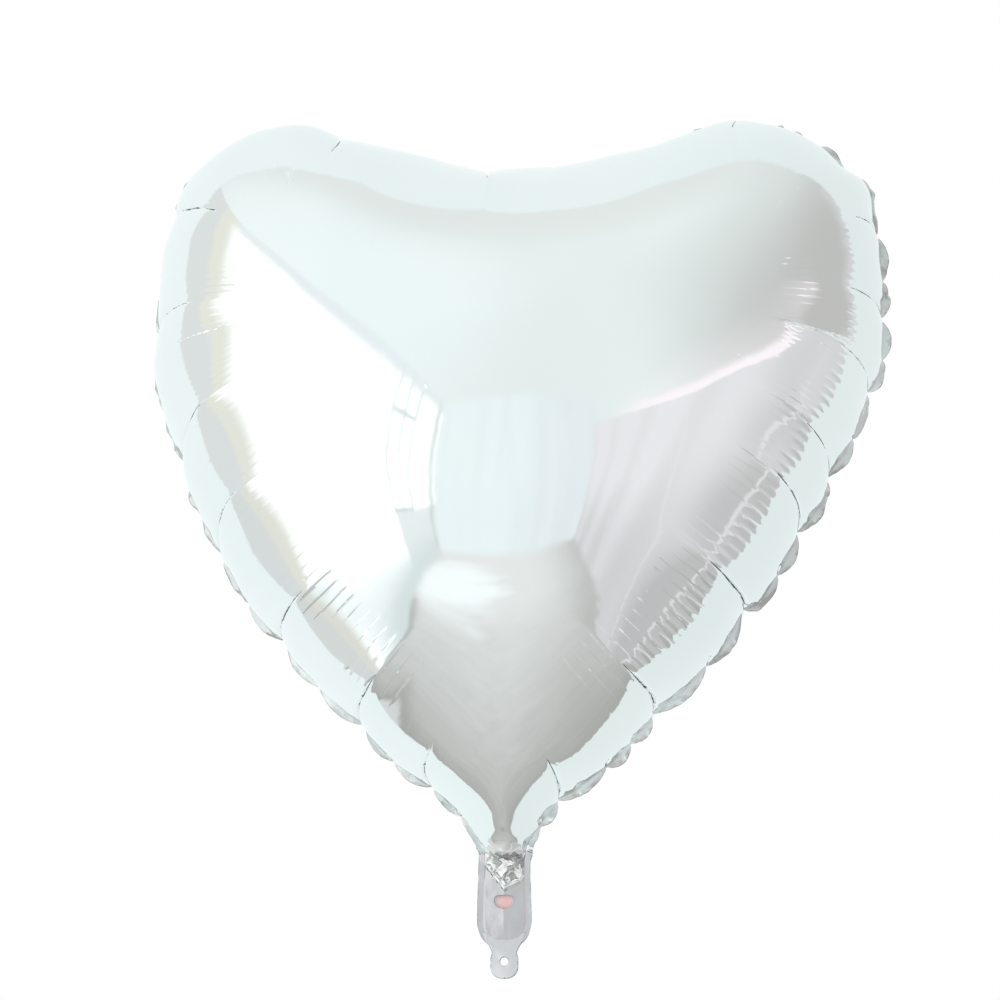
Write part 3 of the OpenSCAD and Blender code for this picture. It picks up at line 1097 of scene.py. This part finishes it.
def clear_film_material():
    material, tree, shader, place = new_material("clear_valve_film")
    cloud = tree.noise(place, 120.0, 3.0)
    colour = tree.mix(cloud, (0.86, 0.88, 0.90, 1), (0.93, 0.94, 0.95, 1))
    shader.inputs["Alpha"].default_value = 0.35
    finish_material(tree, shader, colour, tree.ramp(cloud, 0.3, 0.7, 0.10, 0.22), cloud, 0.0003, metal=0.0)
    return material


def print_material():
    """Pink print with speckles, which pales towards the edge of the inlet."""
    material, tree, shader, place = new_material("release_print")
    speckle = tree.noise(place, 900.0, 2.0)
    ink = tree.mix(tree.noise(place, 260.0, 2.0), (0.84, 0.48, 0.49, 1), (0.92, 0.64, 0.64, 1))
    ink = tree.mix(tree.ramp(speckle, 0.62, 0.7), ink, (0.95, 0.78, 0.77, 1))
    away = tree.vector("DISTANCE", place, (0, 0, (INLET_Z - 0.5) * METRE))["Value"]
    pale = tree.ramp(away, 0.5 * INLET_R * METRE, 1.15 * INLET_R * METRE)
    colour = tree.mix(pale, ink, (0.66, 0.62, 0.63, 1))
    finish_material(tree, shader, colour, 0.55, speckle, 0.0001, metal=0.0)
    return material


foil = foil_material("silver_foil", (0.86, 0.90, 0.90, 1), (0.83, 0.88, 0.885, 1),
                     (0.045, 0.03), (0.00012, 22.0), 0.3)
tail_foil = foil_material("tail_foil", (0.66, 0.655, 0.67, 1), (0.50, 0.50, 0.515, 1),
                          (0.24, 0.14), (0.0005, 90.0), 0.1)
weld_foil = foil_material("welded_foil", (0.70, 0.745, 0.735, 1), (0.52, 0.555, 0.55, 1),
                          (0.12, 0.10), (0.0006, 160.0), 0.1)
tab_foil = foil_material("tab_foil", (0.72, 0.72, 0.74, 1), (0.60, 0.60, 0.62, 1),
                         (0.26, 0.12), (0.0003, 140.0), 0.1)
# painted shade: dark along the bottoms of the creases and in the shadow line under the flap
fold_shade_foil = shade_painted_foil_material("fold_shade_foil", (0.07, 0.08, 0.08, 1), (0.60, 0.63, 0.63, 1), 90.0, 0.47, 0.64)
# painted shade: dark along the weld's outer edge and the tab's edge
weld_edge_shade = shade_painted_foil_material("weld_edge_shade", (0.10, 0.11, 0.11, 1), (0.66, 0.68, 0.68, 1), 160.0, 0.42, 0.62)
crumpled_foil = crumpled_foil_material()
clear_film = clear_film_material()
release_print = print_material()


def give_slots(piece, materials):
    """Adds materials in the order of the slots that the piece's faces already name."""
    slots = np.zeros(len(piece.data.polygons), int)
    piece.data.polygons.foreach_get("material_index", slots)
    for material in materials:
        piece.data.materials.append(material)
    piece.data.polygons.foreach_set("material_index", slots)


for piece in (front_film, rear_film):
    give_slots(piece, (foil, tail_foil, fold_shade_foil, crumpled_foil))
give_slots(weld_piece, (weld_foil, weld_edge_shade, tail_foil))
give_slots(tab_piece, (tab_foil, weld_edge_shade))
for piece in (valve_front, valve_rear, lip_front, lip_rear):
    give_slots(piece, (clear_film,))
give_slots(print_piece, (release_print,))

# ---------------------------------------------------------------- what each piece rides on and stands for


def triangles_area(points, faces):
    a, b, c = (points[faces[:, i]] for i in range(3))
    return float(np.abs(np.cross(b - a, c - a)).sum()) / 2 * METRE ** 2


# the heights of the neck's fold and the tab's notch, between which a piece would bend from one body to the
# next; nothing below uses them
fold_end = (0, 0, (NECK_Z - 6.5) * METRE)
tab_start = (0, 0, (NOTCH_Z + 2.5) * METRE)
tab_end = (0, 0, (NOTCH_Z - 1.5) * METRE)

for piece in (front_film, rear_film, weld_piece):
    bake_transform(piece)
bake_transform(tab_piece)
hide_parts("front_panel", "tail_front_film")
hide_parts("rear_panel", "tail_rear_film")
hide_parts("seam_margin", "tail_welds")
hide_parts("tie_tab")
triangles_area(tab_flat, tab_faces)

for piece, node, body in (
    (valve_front, "valve_front_film", "tail"), (valve_rear, "valve_rear_film", "tail"),
    (print_piece, "valve_release_print", "tail"), (lip_front, "valve_front_lip", "front_lip"),
    (lip_rear, "valve_rear_lip", "rear_lip"),
):
    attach(piece, body)
    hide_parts(node)

# ---------------------------------------------------------------- camera, in metres

VIEW_TURN = math.radians(4.0)  # the camera stands a little to the right of the heart's front
VIEW_LIFT = math.radians(-9.0)  # and a little below it, looking up
VIEW_DISTANCE = 2.0
VIEW_CENTRE = Vector((-0.0022, 0.0, 0.2346))
VIEW_WIDTH = 0.5113  # width of the view at the balloon
SENSOR = 36.0  # width of the camera's sensor in millimetres


def aim(thing, target):
    """Turns a camera or a light towards a target."""
    thing.rotation_mode = "QUATERNION"
    thing.rotation_quaternion = (target - thing.location).to_track_quat("-Z", "Y")
    bpy.context.scene.collection.objects.link(thing)


def place_camera():
    data = bpy.data.cameras.new("camera")
    camera = bpy.data.objects.new("camera", data)
    level = math.cos(VIEW_LIFT)
    back = Vector((math.sin(VIEW_TURN) * level, -math.cos(VIEW_TURN) * level, math.sin(VIEW_LIFT)))
    camera.location = VIEW_CENTRE + back * VIEW_DISTANCE
    aim(camera, VIEW_CENTRE)
    data.sensor_width = SENSOR
    data.lens = SENSOR * VIEW_DISTANCE / VIEW_WIDTH
    data.clip_start, data.clip_end = 0.05, 60
    bpy.context.scene.camera = camera


place_camera()

# ---------------------------------------------------------------- the room that the foil reflects

ROOM_TILT = math.radians(-9.0)  # the room's upright against the balloon's, which hangs with its top forward
ROOM_AHEAD, ROOM_BEHIND, ROOM_UP, ROOM_DOWN = 4.2, 0.37, 1.05, 1.05  # in half widths of the room
WHITE_PAPER, WHITE_PAPER_SHADE = (0.96, 1.01, 1.015, 1), (0.87, 0.92, 0.91, 1)
CEILING, CEILING_REAR = (0.92, 0.967, 0.951, 1), (0.885, 0.895, 0.88, 1)
CEILING_LIT, CEILING_DARK = (1.0, 1.06, 1.05, 1), (0.61, 0.585, 0.572, 1)
WINDOW, SILL, FRAME_GREY = (1.3, 1.3, 1.3, 1), (0.80, 0.86, 0.85, 1), (0.72, 0.76, 0.76, 1)
CREAM, GREY_EDGE = (0.90, 0.88, 0.79, 1), (0.82, 0.83, 0.82, 1)
FAR_WALL, FAR_WALL_SHADE = (0.97, 1.03, 1.04, 1), (0.90, 0.93, 0.95, 1)
DRAPE, DRAPE_SHADE, PANEL_GLOW = (0.94, 0.905, 0.925, 1), (0.60, 0.585, 0.58, 1), (1.16, 1.05, 1.08, 1)
# Upright bars in the windows: place, half width, and the heights between which the lower end fades.
WINDOW_BARS = (
    (2.34, 0.02, -0.36, -0.3), (2.66, 0.02, -0.36, -0.3),
    (3.04, 0.03, -0.36, -0.3), (3.95, 0.10, -1.0, -0.9),
)
FLOOR_FAR, FLOOR_NEAR, SUN_PATCH = (0.93, 0.92, 0.91, 1), (0.43, 0.415, 0.39, 1), (1.1, 1.12, 1.12, 1)


def room_colour(tree):
    """What a direction meets in a long white studio room, with white paper behind the balloon."""
    generated = tree.node("ShaderNodeTexCoord").outputs["Generated"]
    inputs = {"Vector": generated, "Angle": ROOM_TILT}
    turned = tree.node("ShaderNodeVectorRotate", inputs, rotation_type="X_AXIS")
    direction = turned.outputs[0]
    x, y, z = (Signal(tree, part) for part in tree.node("ShaderNodeSeparateXYZ", {0: direction}).outputs)
    side = tree.math("ABSOLUTE", x)
    # a direction meets the surface whose share is the largest
    front, rear = -y / ROOM_AHEAD, y / ROOM_BEHIND
    up, down = z / ROOM_UP, z / -ROOM_DOWN
    walls = tree.largest(side, front, rear)
    near_side = tree.largest(side, 0.04)
    along, height = -y / near_side, z / near_side  # place on a side wall, ahead of the balloon and above it

    on_left, on_right = -x - front, x - front
    colour = far_wall(tree, x, z)
    colour = tree.mix(tree.ramp(on_left, -0.002, 0.004), colour, left_wall(tree, along, height))
    colour = tree.mix(tree.ramp(on_right, -0.002, 0.01), colour, right_wall(tree, along, height))
    over_panel = above_panel(tree, on_right, along, height)
    overhead = tree.largest(tree.ramp(up - walls, -0.006, 0.02), over_panel)
    colour = tree.mix(overhead, colour, ceiling_colour(tree, direction))
    colour = tree.mix(panel_glow(tree, x, along, height), colour, PANEL_GLOW)
    paper = tree.mix(tree.ramp(x, -0.5, 0.8), WHITE_PAPER, WHITE_PAPER_SHADE)
    above_paper = tree.ramp(y - z * 0.18, 0.03, -0.02)
    colour = tree.mix(tree.ramp(rear - side, -0.05, 0.05) * (1.0 - above_paper), colour, paper)
    return tree.mix(tree.ramp(down - walls, -0.012, 0.03), colour, floor_colour(tree, x, -y, z))


def far_wall(tree, x, z):
    """A pale wall with faint upright stripes, darker to the right."""
    stripe = tree.noise(tree.combined(x * 14.0, z), 1.6, 3.0) * 1.8 - 0.9
    shade = tree.math("ADD", tree.ramp(x, -0.1, 0.25), stripe, clamp=True)
    return tree.mix(shade, FAR_WALL, FAR_WALL_SHADE)


def left_wall(tree, along, height):
    """A wall of bright windows: a framed one at its far end, a cream curtain and a grey edge at its near
    end."""
    lit = tree.mix(tree.ramp(height, -0.98, -0.55), SILL, WINDOW)
    framed = tree.between(along, 2.32, 3.05, 0.02)
    below = tree.ramp(along, 2.3, 2.4) * tree.ramp(height, -0.28, -0.34)
    lit = tree.mix(below * 0.75, lit, SILL)
    for level in (0.70, -0.30):
        bar = framed * tree.between(height, level - 0.02, level + 0.02, 0.01)
        lit = tree.mix(bar * 0.9, lit, FRAME_GREY)
    for place, half, low, high in WINDOW_BARS:
        bar = tree.between(along, place - half, place + half, 0.015) * tree.ramp(height, low, high)
        lit = tree.mix(bar * 0.9, lit, FRAME_GREY)
    lit = tree.mix(tree.ramp(height, 0.90, 1.0, 0.0, 0.9), lit, FAR_WALL_SHADE)
    curtain = tree.mix(tree.ramp(along, -0.02, 0.06), GREY_EDGE, CREAM)
    curtain = tree.mix(tree.ramp(height, 0.0, -0.8, 0.0, 0.25), curtain, DRAPE_SHADE)
    return tree.mix(tree.ramp(along, 0.14, 0.34), curtain, lit)


def panel_top(tree, along):
    """Height of the top edge of the white panel that stands along the right wall."""
    return tree.math("POWER", tree.largest(along, 0.001), 0.7) * 0.27 + 0.03


def right_wall(tree, along, height):
    """A white panel with soft folds and a few bright lines, darker towards the balloon and the floor."""
    slant = height * 1.3 + tree.largest(along, 0.0) * 6.5
    near = tree.ramp(along, 1.6, -0.4)
    low = tree.ramp(height, 0.0, -0.9)
    shade = near * 0.5 + low * 0.42 + near * low * 0.5
    shade = tree.math("ADD", shade, tree.math("SINE", slant) * 0.12, clamp=True)
    line = tree.math("ABSOLUTE", tree.math("SINE", slant * 0.4 - height * 1.6))
    colour = tree.mix(shade, DRAPE, DRAPE_SHADE)
    colour = tree.mix(tree.ramp(line, 0.10, 0.0, 0.0, 0.5), colour, DRAPE)
    hem = tree.math("SINE", height * 9.0) * 0.05 + along
    hem = tree.between(hem, 0.10, 0.16, 0.02) * tree.ramp(height, -0.08, -0.2)
    return tree.mix(hem * 0.7, colour, DRAPE)


def above_panel(tree, on_right, along, height):
    """How far a direction on the right is above the panel, where the ceiling's shade is seen."""
    over = tree.ramp(height - panel_top(tree, along), -0.004, 0.012)
    return over * tree.ramp(on_right, -0.002, 0.01) * tree.ramp(along, -0.36, -0.16)


def panel_glow(tree, x, along, height):
    """A strip of light on the wall just above the panel."""
    over = height - panel_top(tree, along)
    fading = tree.ramp(over, 0.12, 0.04, 0.0, 0.65) + tree.ramp(over, 0.45, 0.05, 0.0, 0.35)
    ends = tree.ramp(along, 0.20, 0.34) * tree.ramp(along, 3.6, 1.6)
    return tree.ramp(over, -0.003, 0.006) * fading * ends * tree.ramp(x, 0.10, 0.2)


def towards(tree, direction, azimuth, elevation, low, high):
    """How near a direction is to the one at an azimuth and elevation, in degrees: 0 at low, 1 at high."""
    a, e = math.radians(azimuth), math.radians(elevation)
    way = (math.sin(a) * math.cos(e), -math.cos(a) * math.cos(e), math.sin(e))
    dot = tree.vector("DOT_PRODUCT", direction, way)["Value"]
    return tree.ramp(dot, math.cos(math.radians(low)), math.cos(math.radians(high)))


def ceiling_colour(tree, direction):
    ceiling = tree.mix(towards(tree, direction, 180, 68, 42, 14), CEILING, CEILING_REAR)
    lit = tree.mix(towards(tree, direction, -48, 36, 48, 8), ceiling, CEILING_LIT)
    return tree.mix(towards(tree, direction, 90, 12, 68, 4), lit, CEILING_DARK)


def floor_colour(tree, x, ahead, z):
    """A pale floor, lighter in the distance, with a patch of window light and a faint grain."""
    below = tree.largest(-z, 0.05)
    across, along = x / below, ahead / below
    place = tree.combined(across * 0.6, along * 1.6)
    grain, swirl = tree.noise(place, 2.2, 3.0), tree.noise(place, 7.0, 2.0)
    light = tree.math("POWER", tree.ramp(along, -0.5, 2.2, kind="LINEAR"), 0.75)
    light = tree.math("ADD", light + (grain * 0.16 - 0.08), swirl * 0.24 - 0.12, clamp=True)
    colour = tree.mix(light, FLOOR_NEAR, FLOOR_FAR)
    colour = tree.mix(tree.ramp(across, 0.15, 1.2, 0.0, 0.7), colour, FLOOR_NEAR)
    colour = tree.mix(tree.ramp(across, -0.7, -1.6, 0.0, 0.6), colour, FLOOR_NEAR)
    by_wall = tree.ramp(across, -0.80, -0.94, 0.0, 0.7) * tree.ramp(along, 3.6, 1.6)
    colour = tree.mix(by_wall, colour, FLOOR_NEAR)
    spot = tree.combined(across * 1.5, along)
    away = Signal(tree, tree.vector("DISTANCE", spot, (-0.9, 2.5, 0))["Value"])
    return tree.mix(tree.ramp(grain * 1.2 + (away - 0.6), 1.05, 0.35), colour, SUN_PATCH)


def studio_world():
    """The room as it is reflected and lights the balloon. The camera itself sees plain white round it."""
    world = bpy.data.worlds.new("studio")
    bpy.context.scene.world = world
    world.use_nodes = True
    tree = Tree(world.node_tree)
    shader = world.node_tree.nodes["Background"]
    seen = tree.node("ShaderNodeLightPath").outputs["Is Camera Ray"]
    tree.put(shader.inputs["Color"], tree.mix(seen, room_colour(tree), (1.0, 1.0, 1.0, 1)))
    shader.inputs["Strength"].default_value = 1.0


studio_world()

# ---------------------------------------------------------------- floor and light, in metres

FLOOR_LEVEL, FLOOR_RADIUS, FLOOR_RINGS, FLOOR_SPOKES = -0.16, 2.4, 24, 96


def floor_disc():
    """A pale floor under the balloon that fades out towards its rim."""
    points = [(0, 0, FLOOR_LEVEL)]
    for ring in range(1, FLOOR_RINGS + 1):
        radius = FLOOR_RADIUS * ring / FLOOR_RINGS
        for spoke in range(FLOOR_SPOKES):
            turn = 2 * math.pi * spoke / FLOOR_SPOKES
            points.append((radius * math.cos(turn), radius * math.sin(turn), FLOOR_LEVEL))
    faces = [(0, 1 + i, 1 + (i + 1) % FLOOR_SPOKES) for i in range(FLOOR_SPOKES)]
    for first in range(1, 1 + (FLOOR_RINGS - 1) * FLOOR_SPOKES, FLOOR_SPOKES):
        for i in range(FLOOR_SPOKES):
            a, b = first + i, first + (i + 1) % FLOOR_SPOKES
            faces.append((a, a + FLOOR_SPOKES, b + FLOOR_SPOKES, b))
    mesh = bpy.data.meshes.new("floor")
    mesh.from_pydata(points, [], faces)
    floor = bpy.data.objects.new("floor", mesh)
    bpy.context.scene.collection.objects.link(floor)
    mesh.materials.append(floor_material())
    floor.visible_glossy = False


def floor_material():
    material, tree, shader, place = new_material("floor")
    colour = tree.mix(tree.noise(place, 3.0, 4.0), (0.80, 0.80, 0.79, 1), (0.86, 0.86, 0.85, 1))
    tree.put(shader.inputs["Base Color"], colour)
    shader.inputs["Roughness"].default_value = 0.7
    away = tree.node("ShaderNodeVectorMath", {0: place}, operation="LENGTH").outputs["Value"]
    tree.put(shader.inputs["Alpha"], tree.ramp(away, 0.9, 2.2, 1.0, 0.0))
    return material


def key_light():
    """A soft round light above the camera's left."""
    data = bpy.data.lights.new("key", "AREA")
    data.shape = "DISK"
    data.size = 1.6
    data.energy = 14
    key = bpy.data.objects.new("key", data)
    key.location = (-1.2, -1.4, 2.0)
    aim(key, Vector((0, 0, 0.2)))
    key.visible_glossy = False


floor_disc()
key_light()
bpy.context.scene.view_settings.view_transform = "Standard"
